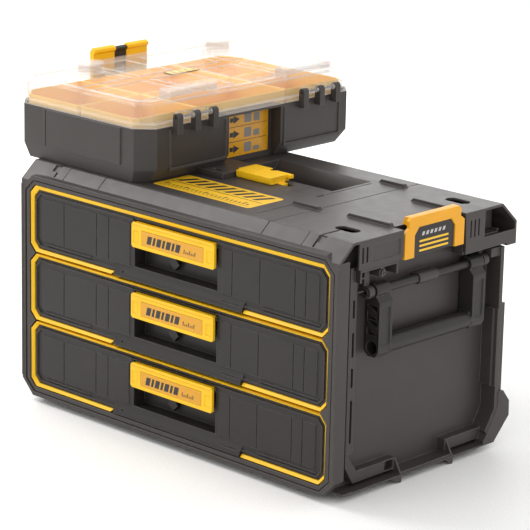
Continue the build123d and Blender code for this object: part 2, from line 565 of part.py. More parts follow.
# ---- side latch ---------------------------------------------------------------------------
def side_latch():
    outline = [(114.0, 274), (131.5, 274), (131.5, 301.5), (139, 310.5), (199, 310.5),
               (206.5, 301.5), (206.5, 274), (224.0, 274), (224.0, 306), (219.5, 309.5),
               (216.5, 311.5), (217.5, 320.5), (213, 324), (125, 324), (120.5, 320.5),
               (121.5, 311.5), (118.5, 309.5), (114.0, 306)]
    latch = prism_x(outline, 272.0, HALF_W)
    # legs reach back to the pivot pin
    for y0, y1 in ((114.0, 126.0), (212.0, 224.0)):
        latch += box(LATCH_X - 2, 272.2, y0, y1, 276.5, 290)
        latch += cyl_y(LATCH_X, LATCH_Z, 4.4, y0, y1)
    # hooking bar over the deck edge
    latch += prism_y([(262.5, 314.5), (272.2, 313), (272.2, 324), (266, 324)], 124, 214)
    latch -= cyl_y(LATCH_X, LATCH_Z, 2.5 + RUN, 100, 240)
    insert = prism_x([(131.8, 275.5), (131.8, 301.3), (139.2, 310.2), (198.8, 310.2),
                      (206.2, 301.3), (206.2, 275.5)], 272.2, 275.2)
    insert += prism_x([(127.0, 290), (127.0, 303), (136.5, 313.0), (201.5, 313.0), (211, 303),
                       (211, 290)], 270.2, 272.0)
    insert += prism_x([(131.8, 290), (131.8, 301.3), (139.2, 310.2), (198.8, 310.2),
                       (206.2, 301.3), (206.2, 290)], 271.9, 272.3)
    return latch, insert


right_latch, right_insert = side_latch()
nodes["side_latch_right"] = right_latch
nodes["side_latch_left"] = mirrored(right_latch)
nodes["side_latch_insert_right"] = right_insert
nodes["side_latch_insert_left"] = mirrored(right_insert)


# ---- back panel, base and screws ----------------------------------------------------------
def back_panel():
    back = box(-262, 262, 306.8, 309.0, 3.2, 256.0)
    for z in (70, 130, 190):
        back += box(-250, 250, 309.0, 313.0, z - 1.5, z + 1.5)
    for x in (-250, -130, 0, 130, 247):
        back += box(x, x + 3, 309.0, 313.0, 12, 248)
    back += box(-250, 250, 309.0, 313.0, 9, 12) + box(-250, 250, 309.0, 313.0, 245, 248)
    for x in (-190, 190):
        for z in (40, 220):
            back -= cyl_y(x, z, 2.1, 306, 310)
    return back


nodes["back_panel"] = back_panel()


def base_pan():
    x0, x1, y0, y1 = -244.0, 244.0, 42.0, 290.0
    base = box(-249.8, 249.8, FRAME_Y1 + 0.2, 306.6, 0, 3.0)
    plinth = box(x0, x1, y0, y1, -FOOT, 0)
    plinth = chamfer(plinth.faces().sort_by(Axis.Z)[0].edges(), 3.0)
    base += plinth
    # weight-saving pockets in the upper side of the plinth
    for x in (-200, -120, 120, 200):
        for y in (90, 166, 242):
            base -= box(x - 34, x + 34, y - 32, y + 32, -FOOT + 3, 4)
    for x in (-40, 40):
        for y in (90, 242):
            base -= box(x - 34, x + 34, y - 32, y + 32, -FOOT + 3, 4)
    return base


nodes["base_pan"] = base_pan()


def case_screws():
    screws = None
    for y in (81.0, 263.0):
        for s in (1, -1):
            one = cyl_x(y, 264.5, 2.0, 262, 271.5) + cyl_x(y, 264.5, 4.0, 271.5, 273.3)
            one -= box(272.6, 275, y - 0.5, y + 0.5, 262, 267)
            one -= box(272.6, 275, y - 2.5, y + 2.5, 264, 265)
            one = one if s > 0 else mirrored(one)
            screws = one if screws is None else screws + one
    for x in (-190, 190):
        for z in (40, 220):
            one = cyl_y(x, z, 2.0, 307.2, 309.0) + cyl_y(x, z, 4.5, 309.0, 311.4)
            one -= box(x - 0.6, x + 0.6, 310.2, 312, z - 3, z + 3)
            screws += one
    return screws


nodes["case_screws"] = case_screws()


# ---- docking latch on the deck ------------------------------------------------------------
def dock_latch():
    z0 = DECK_Z + 0.3
    body = prism_z([(-36, 147.5), (24, 147.5), (24, 178), (30, 178), (30, 184.5), (2, 184.5),
                    (-3, 179), (-14, 179), (-19, 188), (-36, 188)], z0, 321.8)
    body = body - box(22, 32, 176, 190, z0 - 1, z0 + 4.5)
    # finger step on top and undercut front edge
    body += box(-36, -6, 152, 184, 321.8, 323.4)
    body -= prism_x([(146, z0 - 1), (149.6, z0 - 1), (146, 318)], -40, 40)
    for y in (153, 158, 163, 168):
        body -= box(22.8, 25, y, y + 1.6, z0 + 2, 320)
    # keel through the deck slot with a retaining flange below
    keel = box(-32, 30, 162.3, 173.7, DECK_Z - SKIN - 0.3, z0)
    flange = box(-32, 30, 156, 180, DECK_Z - SKIN - 2.6, DECK_Z - SKIN - 0.3)
    post = box(26, 30, 162, 174, DECK_Z - SKIN - 11, DECK_Z - SKIN - 2.6)
    return body + keel + flange + post


nodes["dock_latch"] = dock_latch()
s_x0 = 30.0
s_len = 52.0 - s_x0
d_helix = Helix(pitch=(s_len - 1.2) / 6.0, height=s_len - 1.2, radius=3.2)
d_wire = sweep(Plane(d_helix @ 0, z_dir=d_helix % 0) * Circle(0.5), path=d_helix, is_frenet=True)
nodes["dock_latch_spring"] = Pos(s_x0 + 0.6, 168, DECK_Z - SKIN - 7.0) * Rot(0, 90, 0) * d_wire


# ---- organiser ----------------------------------------------------------------------------
def tub_body(inset, z_low):
    """Upright tub with cut corners, drawn in below a sloping skirt."""
    x0, x1, y0, y1 = ORG_X0 + inset, ORG_X1 - inset, ORG_Y0 + inset, ORG_Y1 - inset
    c = ORG_CH - inset * 0.58
    upper = prism_z(plan(x0, x1, y0, y1, c), DECK_Z + 19 + z_low * 0.3, ORG_RIM)
    dx = 13.0
    low = Plane.XY.offset(DECK_Z + z_low) * make_face(
        Polyline(*plan(x0 + dx, x1 - dx, y0 + 4.0, y1 - dx, c - 6), close=True))
    high = Plane.XY.offset(DECK_Z + 19 + z_low * 0.3) * make_face(
        Polyline(*plan(x0, x1, y0, y1, c), close=True))
    skirt = loft([low, high])
    return upper + skirt


def organiser_tub():
    outer = tub_body(0.0, 0.0)
    inner = tub_body(ORG_T, ORG_T)
    inner += prism_z(plan(ORG_X0 + ORG_T, ORG_X1 - ORG_T, ORG_Y0 + ORG_T, ORG_Y1 - ORG_T,
                          ORG_CH - ORG_T * 0.58), ORG_RIM - 1, ORG_RIM + 1)
    # sockets in the floor over the side latch and over the deck rails
    over = [(-300.0, -257.0, 108.0, 230.0, 327.6)]
    for x0, x1, y0, y1 in RAILS:
        over.append((-x1 - 1.5, -x0 + 1.5, y0 - 1.5, y1 + 1.5, DECK_Z + 5.4))
    for x0, x1, y0, y1, z1 in over:
        inner -= box(x0 - 2.4, x1 + 2.4, y0 - 2.4, y1 + 2.4, DECK_Z, z1 + 2.4)
        outer -= box(x0, x1, y0, y1, DECK_Z - 1, z1)
    # bearers the bins stand on
    for y in (84, 221, 352):
        inner -= box(ORG_X0, ORG_X1, y - 1.2, y + 1.2, DECK_Z, BIN_Z)
    # niche in the inner side: keep material behind it
    keep = box(NICHE_X - ORG_T, ORG_X1, NICHE_Y0 - ORG_T, NICHE_Y1 + ORG_T, DECK_Z, ORG_RIM)
    inner -= keep
    tub = outer - inner
    tub -= box(NICHE_X, ORG_X1 + 5, NICHE_Y0, NICHE_Y1, DECK_Z - 1, ORG_RIM - 3.2)
    # standing borders of the two framed fields on the inner side
    for y0, y1 in ((66, 168), (274, 383)):
        field = box(ORG_X1, ORG_X1 + 1.6, y0, y1, 326, 379)
        field -= box(ORG_X1 - 1, ORG_X1 + 3, y0 + 3, y1 - 3, 330, 381)
        tub += field
    # proud field on the near face and its mirror on the far face
    tub += box(-262, -118, ORG_Y0 - 2.0, ORG_Y0, 333, 381)
    tub -= box(-258, -256.4, ORG_Y0 - 3, ORG_Y0 - 0.6, 333, 381)
    tub += box(-262, -118, ORG_Y1, ORG_Y1 + 2.0, 333, 381)
    # ribs on the outer long side
    for y in (90, 160, 284, 354):
        tub += box(ORG_X0 - 1.6, ORG_X0, y - 1.5, y + 1.5, 333, 379)
    # low docking foot beside the sliding latch
    foot = box(NICHE_X - ORG_T, -38.5, 126.0, 192.0, DECK_Z + 0.2, 319.5)
    foot -= box(-66.0, -52.0, 136.0, 141.0, 316.0, 321.0)
    tub += foot
    # hinge knuckles on the inner side, over the rim
    for y in KNUCKLES:
        knuckle = cyl_y(HINGE_X, HINGE_Z, 5.0, y - 4.6, y + 4.6)
        knuckle += box(HINGE_X - 5, HINGE_X + 5, y - 4.6, y + 4.6, 374, HINGE_Z)
        knuckle += box(ORG_X1 - 1, HINGE_X, y - 4.6, y + 4.6, 374, ORG_RIM)
        tub += knuckle
    tub -= cyl_y(HINGE_X, HINGE_Z, 1.6 + RUN, 50, 400)
    # catch bar for the latch on the outer long side, with the latch pivot lugs
    for y0, y1 in ((166.5, 171.5), (272.1, 277.1)):
        lug = prism_y([(ORG_X0, 360), (ORG_X0 - 8.5, 366), (ORG_X0 - 8.5, 376), (ORG_X0, 380)],
                      y0, y1)
        lug -= cyl_y(ORG_X0 - 4.6, 371.0, 1.6 + RUN, y0 - 1, y1 + 1)
        tub += lug
    return tub


nodes["organiser_tub"] = organiser_tub()
nodes["organiser_hinge_pin"] = (cyl_y(HINGE_X, HINGE_Z, 1.6, 68, 145) +
                                cyl_y(HINGE_X, HINGE_Z, 1.6, 299, 375) +
                                cyl_y(ORG_X0 - 4.6, 371.0, 1.6, 166.5, 277.1))


def organiser_bins():
    """Six open cups that stand on the tub floor."""
    bins = None
    z0 = BIN_Z
    z1 = 394.0
    cols = ((-316.0, -203.0), (-201.0, -98.0))
    rows = ((30.0, 137.0), (139.0, 303.0), (305.0, 412.0))
    for i, (x0, x1) in enumerate(cols):
        for j, (y0, y1) in enumerate(rows):
            c = [2.0, 2.0, 2.0, 2.0]
            if i == 0 and j == 0:
                c[0] = 18.0
            if i == 1 and j == 0:
                c[1] = 6.0
            if i == 1 and j == 2:
                c[2] = 6.0
            if i == 0 and j == 2:
                c[3] = 18.0
            pts = [(x0 + c[0], y0), (x1 - c[1], y0), (x1, y0 + c[1]), (x1, y1 - c[2]),
                   (x1 - c[2], y1), (x0 + c[3], y1), (x0, y1 - c[3]), (x0, y0 + c[0])]
            cup = prism_z(pts, z0, z1)
            t = 1.6
            inn = [(x0 + t + c[0], y0 + t), (x1 - t - c[1], y0 + t), (x1 - t, y0 + t + c[1]),
                   (x1 - t, y1 - t - c[2]), (x1 - t - c[2], y1 - t), (x0 + t + c[3], y1 - t),
                   (x0 + t, y1 - t - c[3]), (x0 + t, y0 + t + c[0])]
            cup -= prism_z(inn, z0 + 1.6, z1 + 1)
            bins = cup if bins is None else bins + cup
    return bins


nodes["organiser_bins"] = organiser_bins()


def organiser_lid():
    t = 2.4
    x0, x1, y0, y1 = ORG_X0 - 3.5, ORG_X1 + 0.5, ORG_Y0 - 3.5, ORG_Y1 + 3.5
    # flange that lands on the rim, skirt and top plate
    low = prism_z(plan(x0, x1, y0, y1, ORG_CH), ORG_RIM + 0.2, 388)
    low -= prism_z(plan(x0 + 7, x1 - 7, y0 + 7, y1 - 7, ORG_CH - 3), ORG_RIM - 1, 389)
    # leaves room for the knuckles
    x2, x3, y2, y3 = ORG_X0 + 2.5, ORG_X1 - 5.5, ORG_Y0 + 2.5, ORG_Y1 - 2.5
    wall = prism_z(plan(x2, x3, y2, y3, ORG_CH - 3), 388, LID_TOP)
    wall -= prism_z(plan(x2 + t, x3 - t, y2 + t, y3 - t, ORG_CH - 4.5), 386, LID_TOP - t)
    lid = low + wall
    lid += prism_z(plan(x0, x1, y0, y1, ORG_CH), 388, 389.6) - \
        prism_z(plan(x2 + 1, x3 - 1, y2 + 1, y3 - 1, ORG_CH - 3.4), 387, 390)
    # perimeter bead on the top, broken by two cross channels
    bead = prism_z(plan(x2 + 1, x3 - 1, y2 + 1, y3 - 1, ORG_CH - 4), LID_TOP, LID_TOP + 3.2)
    bead -= prism_z(plan(x2 + 9, x3 - 9, y2 + 9, y3 - 9, ORG_CH - 7), LID_TOP - 1, LID_TOP + 4)
    lid += bead
    # four raised windows over the bins, leaving a cross of channels
    for a0, a1 in ((-306.0, -212.0), (-192.0, -100.0)):
        for b0, b1 in ((38.0, 132.0), (146.0, 208.0), (234.0, 296.0), (310.0, 404.0)):
            ring = box(a0, a1, b0, b1, LID_TOP, LID_TOP + 1.4)
            ring -= box(a0 + 3, a1 - 3, b0 + 3, b1 - 3, LID_TOP - 1, LID_TOP + 3)
            lid += ring
    # long raised blocks over the hinge side
    for b0, b1 in ((72.0, 160.0), (284.0, 372.0)):
        block = box(-104, x3 - 0.2, b0, b1, LID_TOP, LID_TOP + 13)
        block = fillet(block.edges().filter_by(Axis.Z), 5.0)
        block -= box(-101.6, x3 - 2.6, b0 + 2.4, b1 - 2.4, LID_TOP - 1, LID_TOP + 10.6)
        lid += block
        lid -= box(-101.6, x3 - 2.6, b0 + 2.4, b1 - 2.4, LID_TOP - t - 1, LID_TOP + 1)
    # two stepped docking cups towards the outer long side
    for yc in (104.0, 340.0):
        cup = cyl_z(-262, yc, 21.0, LID_TOP, LID_TOP + 6)
        cup += cyl_z(-262, yc, 17.5, LID_TOP + 6, LID_TOP + 18)
        cup -= cyl_z(-262, yc, 15.2, LID_TOP - t - 1, LID_TOP + 15.6)
        lid += cup
        lid -= cyl_z(-262, yc, 15.2, LID_TOP - t - 1, LID_TOP + 15.6)
    # ears around the hinge pin between the knuckles
    for y in KNUCKLES:
        lid -= box(HINGE_X - 6.0, HINGE_X + 7, y - 5.2, y + 5.2, ORG_RIM - 1, 402)
    for pair in ((79.9, 101.6), (111.4, 133.1), (310.9, 331.8), (341.9, 363.1)):
        ear = cyl_y(HINGE_X, HINGE_Z, 4.2, pair[0] + 0.5, pair[1] - 0.5)
        ear += box(x3 - 0.4, HINGE_X, pair[0] + 0.5, pair[1] - 0.5, HINGE_Z - 3, HINGE_Z + 3)
        lid += ear
    lid -= cyl_y(HINGE_X, HINGE_Z, 1.6 + RUN, 50, 400)
    # catch ledge for the latch, and the corner tabs on the outer side
    lid += box(x0, x2 + 1, 178, 266, 389, 399.4)
    for yc in (60.0, 384.0):
        lid += box(x0 - 3.6, x0 + 0.5, yc - 10, yc + 10, 385, 402) + \
            box(x0, x2 + 1, yc - 10, yc + 10, 389, 402)
    return lid


nodes["organiser_lid"] = organiser_lid()


def organiser_latch():
    x = ORG_X0 - 4.6
    z = 371.0
    latch = cyl_y(x, z, 4.0, 172.1, 271.5)
    plate = prism_y([(x - 3.6, z - 2), (x - 2.6, z), (x - 2.6, z + 51), (x + 0.3, z + 53.5),
                     (x + 0.3, z + 57.5), (x - 5.6, z + 60), (x - 10.4, z + 54), (x - 9.4, z + 16),
                     (x - 6.6, z)], 172.1, 271.5)
    plate = chamfer(plate.edges().filter_by(Axis.X).sort_by(Axis.Z)[-2:], 3.0) \
        if len(plate.edges().filter_by(Axis.X)) > 1 else plate
    latch += plate
    latch -= cyl_y(x, z, 1.6 + RUN, 160, 290)
    latch -= box(x - 12, x + 8, 210.8, 232.8, z + 22, z + 66)
    core = prism_y([(x - 8.8, z + 22.2), (x - 3.4, z + 22.2), (x - 3.4, z + 50.4),
                    (x - 0.6, z + 52.8), (x - 0.6, z + 55.6), (x - 5.4, z + 57.6),
                    (x - 9.2, z + 52.4)], 211.0, 232.6)
    return latch, core


nodes["organiser_latch"], nodes["organiser_latch_core"] = organiser_latch()
nodes["organiser_label"] = box(NICHE_X, NICHE_X + 0.8, NICHE_Y0 + 1.0, NICHE_Y0 + 90.0, DECK_Z + 8.5,
                               ORG_RIM - 4.0)

# ---- export -------------------------------------------------------------------------------
os.makedirs("parts", exist_ok=True)
for name, shape in nodes.items():
    moved = Pos(0, -BASE_Y, FOOT) * shape
    export_step(moved, "parts/" + name + ".step")
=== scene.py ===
import json
import math

import bmesh
import bpy
from mathutils import Matrix, Vector


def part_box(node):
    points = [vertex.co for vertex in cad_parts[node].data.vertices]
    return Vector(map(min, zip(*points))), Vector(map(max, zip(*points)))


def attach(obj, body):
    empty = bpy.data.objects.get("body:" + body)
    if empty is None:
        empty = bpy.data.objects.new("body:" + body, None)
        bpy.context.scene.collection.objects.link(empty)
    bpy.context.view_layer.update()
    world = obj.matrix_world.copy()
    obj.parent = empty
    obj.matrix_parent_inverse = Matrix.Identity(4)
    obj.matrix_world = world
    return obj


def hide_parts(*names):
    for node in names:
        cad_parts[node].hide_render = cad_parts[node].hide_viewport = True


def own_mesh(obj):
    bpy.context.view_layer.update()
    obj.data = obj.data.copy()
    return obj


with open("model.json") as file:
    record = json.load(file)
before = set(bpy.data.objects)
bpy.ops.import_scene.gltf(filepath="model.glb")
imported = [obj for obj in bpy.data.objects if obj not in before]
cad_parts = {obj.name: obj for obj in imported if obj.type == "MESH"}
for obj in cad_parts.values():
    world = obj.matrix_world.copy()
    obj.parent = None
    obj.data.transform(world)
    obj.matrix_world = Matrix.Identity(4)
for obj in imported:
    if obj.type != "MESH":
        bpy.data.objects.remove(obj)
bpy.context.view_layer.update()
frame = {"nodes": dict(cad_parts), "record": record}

# Looks, springs, prints, camera and light of the tool box. Lengths are metres, except in the
# section on prints, which is laid out in millimetres and turned into metres by decal().
MM = 0.001
SIDES = (("right", 1), ("left", -1))
DRAWERS = (1, 2, 3)

# Moulded nodes get rounded edges; nodes with one of these words in their name keep sharp ones.
EDGE_RADIUS = 0.6 * MM
EDGE_ANGLE = 38   # degrees; edges that turn less than this stay as they are
SHARP = ("spring", "screws", "slide", "pin", "rods", "label")


# ---- node materials -----------------------------------------------------------------------
NOISE_BAND = (0.3, 0.7)     # where most values of a noise texture lie
FLAT, CORNER = 0.995, 0.86  # dot product of the true and the rounded normal


class Graph:
    """A material's node tree, with the object's own coordinates at hand."""

    def __init__(self, name):
        self.material = bpy.data.materials.new(name)
        self.material.use_nodes = True
        self.tree = self.material.node_tree
        self.shader = self.tree.nodes["Principled BSDF"]
        self.place = self.add("ShaderNodeTexCoord").outputs["Object"]

    def add(self, kind, **inputs):
        node = self.tree.nodes.new(kind)
        for key, value in inputs.items():
            self.feed(node.inputs[key.replace("_", " ")], value)
        return node

    def feed(self, socket, value):
        if isinstance(value, bpy.types.NodeSocket):
            self.tree.links.new(value, socket)
        else:
            socket.default_value = value

    def set(self, **inputs):
        for key, value in inputs.items():
            self.feed(self.shader.inputs[key.replace("_", " ")], value)

    def calc(self, operation, *values, clamp=False):
        node = self.add("ShaderNodeMath")
        node.operation = operation
        node.use_clamp = clamp
        for index, value in enumerate(values):
            self.feed(node.inputs[index], value)
        return node.outputs[0]

    def noise(self, scale, detail, stretch=None):
        place = self.place
        if stretch:
            mapping = self.add("ShaderNodeMapping", Vector=place)
            mapping.inputs["Scale"].default_value = stretch
            place = mapping.outputs[0]
        node = self.add("ShaderNodeTexNoise", Vector=place, Scale=scale, Detail=detail)
        return node.outputs["Fac"]

    def remap(self, value, low, high, to_low, to_high):
        node = self.add("ShaderNodeMapRange")
        for index, v in enumerate((value, low, high, to_low, to_high)):
            self.feed(node.inputs[index], v)
        return node.outputs[0]

    def patches(self, scale, detail, to_low=0.0, to_high=1.0, stretch=None):
        """Soft patches of noise that run from one value to the other."""
        return self.remap(self.noise(scale, detail, stretch), *NOISE_BAND, to_low, to_high)

    def blend(self, factor, a, b):
        node = self.add("ShaderNodeMix")
        node.data_type = "RGBA"
        for index, v in ((0, factor), (6, a), (7, b)):
            self.feed(node.inputs[index], v)
        return node.outputs[2]

    def bump(self, height, strength, distance, below=None):
        node = self.add("ShaderNodeBump", Strength=strength, Distance=distance, Height=height)
        if below is not None:
            self.feed(node.inputs["Normal"], below)
        return node.outputs[0]

    def edge(self, radius):
        """1 on sharp edges, 0 on flats."""
        bevel = self.add("ShaderNodeBevel", Radius=radius)
        bevel.samples = 4
        true = self.add("ShaderNodeNewGeometry").outputs["Normal"]
        dot = self.add("ShaderNodeVectorMath")
        dot.operation = "DOT_PRODUCT"
        self.feed(dot.inputs[0], bevel.outputs[0])
        self.feed(dot.inputs[1], true)
        return self.remap(dot.outputs["Value"], FLAT, CORNER, 0.0, 1.0)


def rgb(r, g, b):
    return (r, g, b, 1.0)


def scaled(colour, k):
    return (colour[0] * k, colour[1] * k, colour[2] * k, 1.0)


MOULD_SPECULAR = 0.34
DARK_BELOW = 0.3                    # plastics darker than this get pale edges (rubbed wear and painted highlight), the others keep their hue
# Colour, strength and width of the lighter sharp edges: partly rubbed wear, partly a painted
# highlight where the edges catch the light.
RUB_AND_HIGHLIGHT_DARK = rgb(0.34, 0.32, 0.31)
RUB_AND_HIGHLIGHT_LIGHT = 1.08
RUB_AND_HIGHLIGHT_WIDTH = 0.0011


def moulded(name, colour, rough, grain=0.10, grain_scale=1700, drift=0.07, wear_and_highlight=0.5):
    """Injection moulded plastic: eroded grain, slow colour drift, flow haze, and lighter sharp edges
    that are partly rubbed wear and partly a painted highlight.
    """
    g = Graph(name)
    slow = g.patches(11, 4)
    base = g.blend(slow, scaled(colour, 1 - drift), scaled(colour, 1 + drift))
    haze = g.remap(g.noise(38, 5, (1, 1, 3)), 0.42, 0.75, 0.0, 0.14)
    base = g.blend(haze, base, scaled(colour, 1.32))
    speck = g.remap(g.noise(1300, 2), 0.66, 0.78, 0.0, 0.35)
    base = g.blend(speck, base, scaled(colour, 1.7))
    broken = g.remap(g.noise(140, 4), 0.35, 0.7, 0.25, 1.0)
    # Painted highlight along the sharp edges, with some rubbed wear: broken up by noise, the edges
    # blend towards a paler colour.
    rub_and_highlight = g.calc("MULTIPLY", g.edge(RUB_AND_HIGHLIGHT_WIDTH), broken)
    amount = g.remap(rub_and_highlight, 0.0, 1.0, 0.0, wear_and_highlight)
    rub_and_highlight_colour = RUB_AND_HIGHLIGHT_DARK if max(colour[:3]) < DARK_BELOW else scaled(colour, RUB_AND_HIGHLIGHT_LIGHT)
    g.set(Base_Color=g.blend(amount, base, rub_and_highlight_colour))
    g.set(Roughness=g.patches(60, 5, rough - 0.02, rough + 0.03))
    fine = g.bump(g.noise(grain_scale, 2), grain, 0.00025)
    g.set(Normal=g.bump(g.noise(26, 2), 0.012, 0.0012, fine))
    g.set(Specular_IOR_Level=MOULD_SPECULAR)
    return g.material


CLEAR_LEVEL = 0.055     # how solid a level face looks, seen face on
CLEAR_UPRIGHT = 0.20    # the same for an upright wall
CLEAR_GRAZING = 0.50    # and for any face seen edge on
# Painted highlight: extra solidity along the sharp edges, so their pale colour shows.
RIM_HIGHLIGHT = 0.62        # added along the sharp edges
RIM_HIGHLIGHT_WIDTH = 0.0024
GRAZING_POWER = 10.0


def clear_plastic(name):
    """Polished clear moulding: see-through face on, milky where seen edge on, with a painted
    highlight along its sharp edges.
    """
    g = Graph(name)
    facing = g.add("ShaderNodeLayerWeight", Blend=0.5).outputs["Facing"]
    streak = g.patches(24, 3, stretch=(1, 1, 4))
    g.set(Base_Color=g.blend(streak, rgb(0.66, 0.62, 0.58), rgb(0.74, 0.70, 0.66)))
    grazing = g.calc("POWER", facing, GRAZING_POWER)
    normal = g.add("ShaderNodeNewGeometry").outputs["Normal"]
    level = g.calc("ABSOLUTE", g.add("ShaderNodeSeparateXYZ", Vector=normal).outputs["Z"])
    face_on = g.remap(level, 0.1, 0.9, CLEAR_UPRIGHT, CLEAR_LEVEL)
    alpha = g.remap(grazing, 0.0, 1.0, face_on, CLEAR_GRAZING)
    # Painted highlight: the sharp edges are made more solid, so the pale base colour shows there.
    rim = g.remap(g.edge(RIM_HIGHLIGHT_WIDTH), 0.0, 1.0, 0.0, RIM_HIGHLIGHT)
    g.set(Alpha=g.calc("ADD", alpha, rim, clamp=True))
    g.set(Roughness=g.patches(80, 4, 0.05, 0.12))
    g.set(Normal=g.bump(g.noise(30, 2), 0.06, 0.001))
    return g.material


def steel(name, colour, rough):
    """Rolled strip with faint drawing lines and zinc mottling."""
    g = Graph(name)
    lines = g.noise(500, 3, (1, 0.02, 1))
    g.set(Base_Color=g.blend(g.patches(180, 5), scaled(colour, 0.86), scaled(colour, 1.12)))
    g.set(Metallic=1.0)
    g.set(Roughness=g.remap(lines, *NOISE_BAND, rough - 0.07, rough + 0.1))
    g.set(Normal=g.bump(lines, 0.12, 0.0003))
    return g.material


def printed(name, colour, rough):
    """Print or film: even colour with a slight mottle and a smooth face."""
    g = Graph(name)
    g.set(Base_Color=g.blend(g.patches(420, 4), scaled(colour, 0.93), scaled(colour, 1.05)))
    g.set(Roughness=g.patches(90, 3, rough - 0.05, rough + 0.06))
    g.set(Normal=g.bump(g.noise(900, 2), 0.05, 0.0001))
    return g.material


YELLOW_FINISH = {"grain": 0.06, "drift": 0.05, "wear_and_highlight": 0.4}
BIN_FINISH = {"grain": 0.03, "grain_scale": 1500, "drift": 0.05, "wear_and_highlight": 0.4}
LOOKS = {
    "shell_plastic": moulded("shell_plastic", rgb(0.044, 0.038, 0.0355), 0.43),
    "front_plastic": moulded("front_plastic", rgb(0.019, 0.0165, 0.0155), 0.40, wear_and_highlight=0.42),
    "tray_plastic": moulded("tray_plastic", rgb(0.034, 0.032, 0.031), 0.5, wear_and_highlight=0.2),
    "yellow_plastic": moulded("yellow_plastic", rgb(0.84, 0.49, 0.008), 0.42, **YELLOW_FINISH),
    "latch_yellow": moulded("latch_yellow", rgb(0.72, 0.33, 0.012), 0.44, **YELLOW_FINISH),
    "bin_plastic": moulded("bin_plastic", rgb(0.90, 0.52, 0.035), 0.34, **BIN_FINISH),
    "clear_plastic": clear_plastic("clear_plastic"),
    "label_film": printed("label_film", rgb(0.66, 0.31, 0.008), 0.25),
    "zinc_steel": steel("zinc_steel", rgb(0.62, 0.61, 0.59), 0.34),
    "dark_steel": steel("dark_steel", rgb(0.09, 0.088, 0.086), 0.38),
}
INK = printed("ink_dark", rgb(0.018, 0.016, 0.015), 0.42)
INK_YELLOW = printed("ink_yellow", rgb(0.80, 0.47, 0.012), 0.40)
INK_GREY = printed("ink_grey", rgb(0.20, 0.19, 0.185), 0.42)
INK_PALE = printed("ink_pale", rgb(0.46, 0.45, 0.43), 0.42)
LABEL_OCHRE = printed("label_ochre", rgb(0.70, 0.38, 0.02), 0.34)

# These nodes are moulded in a blacker plastic than the rest of their slot.
HANDLE_BLACK = moulded("handle_black", rgb(0.021, 0.018, 0.017), 0.40)
BLACKER = ("side_handle_right", "side_handle_left", "handle_rods", "side_latch_insert_right",
           "side_latch_insert_left", "organiser_latch_core")


def dress():
    """Gives each CAD node the material of its slot."""
    for part in frame["record"]["subparts"]:
        obj = frame["nodes"][part["node"]]
        obj.data.materials.clear()
        look = HANDLE_BLACK if part["node"] in BLACKER else LOOKS[part["material_slot"]]
        obj.data.materials.append(look)


# ---- rounded edges on the moulded nodes ---------------------------------------------------
def keep_inside(obj, low, high):
    """Modifier that holds the rounded mesh within the node's own box."""
    group = bpy.data.node_groups.new("inside_" + obj.name, "GeometryNodeTree")
    for way in ("INPUT", "OUTPUT"):
        group.interface.new_socket("Geometry", in_out=way, socket_type="NodeSocketGeometry")
    entry = group.nodes.new("NodeGroupInput")
    leave = group.nodes.new("NodeGroupOutput")
    move = group.nodes.new("GeometryNodeSetPosition")
    value = group.nodes.new("GeometryNodeInputPosition").outputs[0]
    for operation, corner in (("MINIMUM", high), ("MAXIMUM", low)):
        clip = group.nodes.new("ShaderNodeVectorMath")
        clip.operation = operation
        clip.inputs[1].default_value = corner
        group.links.new(value, clip.inputs[0])
        value = clip.outputs[0]
    group.links.new(entry.outputs[0], move.inputs["Geometry"])
    group.links.new(value, move.inputs["Position"])
    group.links.new(move.outputs[0], leave.inputs[0])
    obj.modifiers.new("inside", "NODES").node_group = group


def soften(node, width):
    """Breaks the sharp edges of a moulded node, as the tool's radii do."""
    obj = frame["nodes"][node]
    weld = obj.modifiers.new("weld", "WELD")
    weld.merge_threshold = 0.01 * MM
    bevel = obj.modifiers.new("radius", "BEVEL")
    bevel.width = width
    bevel.segments = 2
    bevel.limit_method = "ANGLE"
    bevel.angle_limit = math.radians(EDGE_ANGLE)
    bevel.use_clamp_overlap = False
    bevel.loop_slide = False
    keep_inside(obj, *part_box(node))
    shade = obj.modifiers.new("shade", "WEIGHTED_NORMAL")
    shade.weight = 80


def coil(node, body):
    """Copy of a spring node, carried by the given body; the CAD node itself is hidden."""
    source = frame["nodes"][node]
    obj = bpy.data.objects.new(node + "_coil", source.data.copy())
    bpy.context.scene.collection.objects.link(obj)
    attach(obj, body)
    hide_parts(node)
    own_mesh(obj)


def springs():
    coil("dock_latch_spring", "case")
    for n in DRAWERS:
        coil("drawer_%d_spring" % n, "drawer_%d" % n)


# ---- flat outlines and the plates made from them ------------------------------------------
AXES = {"x": (1, 2, 0), "y": (0, 2, 1), "z": (0, 1, 2)}


def rect(u0, u1, v0, v1, cut=0.0):
    """Rectangle, with its corners cut off at 45 degrees where cut is given."""
    if not cut:
        return [(u0, v0), (u1, v0), (u1, v1), (u0, v1)]
    return [(u0 + cut, v0), (u1 - cut, v0), (u1, v0 + cut), (u1, v1 - cut),
            (u1 - cut, v1), (u0 + cut, v1), (u0, v1 - cut), (u0, v0 + cut)]


def slant(u, v0, v1, width, lean):
    """Bar that leans by the given amount from its foot to its head."""
    return [(u, v0), (u + width, v0), (u + width + lean, v1), (u + lean, v1)]


